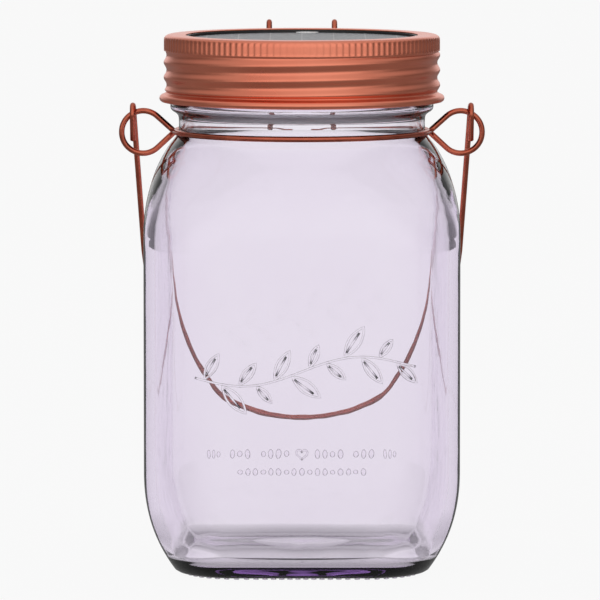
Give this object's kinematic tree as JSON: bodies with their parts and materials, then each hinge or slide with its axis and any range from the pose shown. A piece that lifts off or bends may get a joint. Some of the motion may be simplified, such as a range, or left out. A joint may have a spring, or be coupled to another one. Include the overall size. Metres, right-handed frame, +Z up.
{
  "type": "mason jar lantern",
  "caption": "Square glass mason jar lantern with a screw band holding a solar lamp unit, a hooked wire carrying handle and a magnet switch clip.",
  "frame": {"origin": "centre of the jar's base on the surface it stands on", "axes": "+Z up through the lid, -Y front, handle hangs towards +Y, +X to the right seen from the front"},
  "size_m": [0.1152, 0.1139, 0.1704],
  "materials": {
    "glass": "clear lilac-tinted pressed glass",
    "copper_band": "satin copper plating",
    "copper_wire": "drawn copper-plated wire",
    "magnet": "nickel-plated magnet",
    "magnet_cup": "satin copper plating",
    "gasket": "soft translucent white",
    "housing": "black moulded plastic",
    "panel_seal": "black foam ring",
    "panel_backing": "glass-fibre sheet",
    "solar_cell": "dark blue-black silicon",
    "panel_resin": "clear satin resin",
    "switch_mark": "pale smooth plastic",
    "circuit_board": "white solder mask",
    "led": "yellow phosphor in white frame",
    "steel": "zinc-plated steel",
    "battery": "green shrink sleeve",
    "battery_tray": "black moulded plastic",
    "contact": "nickel plate",
    "reed_glass": "pale green sealed glass",
    "chip": "black epoxy",
    "coil": "ferrite",
    "capacitor": "bare aluminium can",
    "lead_red": "red wire insulation",
    "lead_black": "black wire insulation",
    "light_cover": "frosted clear plastic"
  },
  "bodies": {
    "jar": {"glass_jar": "glass", "neck_wire": "copper_wire", "clip_bracket_left": "copper_wire", "clip_bracket_right": "copper_wire"},
    "handle": {"carry_handle": "copper_wire"},
    "clip": {"switch_clip": "copper_wire", "magnet_cup": "magnet_cup", "switch_magnet": "magnet"},
    "lamp_unit": {"lid_gasket": "gasket", "lamp_housing": "housing", "panel_seal": "panel_seal", "solar_backing": "panel_backing", "solar_cells": "solar_cell", "panel_cover": "panel_resin", "switch_mark": "switch_mark", "circuit_board": "circuit_board", "leds": "led", "board_screws": "steel", "battery_cells": "battery", "battery_tray": "battery_tray", "battery_contacts": "contact", "reed_switch": "reed_glass", "control_chip": "chip", "choke_coil": "coil", "capacitor": "capacitor", "panel_lead_positive": "lead_red", "panel_lead_negative": "lead_black", "light_cover": "light_cover"},
    "band": {"screw_band": "copper_band"}
  },
  "joints": [
    {"name": "lid_lift", "type": "slide", "parent": "jar", "child": "lamp_unit", "axis": [0, 0, 1], "range_m": [0, 0.03105]},
    {"name": "band_turn", "type": "hinge", "parent": "lamp_unit", "child": "band", "pos_m": [0, 0, 0.157], "axis": [0, 0, 1], "range_deg": [0, 2340]},
    {"name": "handle_swing", "type": "hinge", "parent": "jar", "child": "handle", "pos_m": [0, 0, 0.1429], "axis": [1, 0, 0], "range_deg": [0, 293]},
    {"name": "clip_swing", "type": "hinge", "parent": "jar", "child": "clip", "pos_m": [0, 0.0497, 0.16612], "axis": [1, 0, 0], "range_deg": [0, 270]}
  ],
  "couplings": [
    {"joint": "lid_lift", "follows": "band_turn", "m_per_rad": 0.00074803}
  ]
}
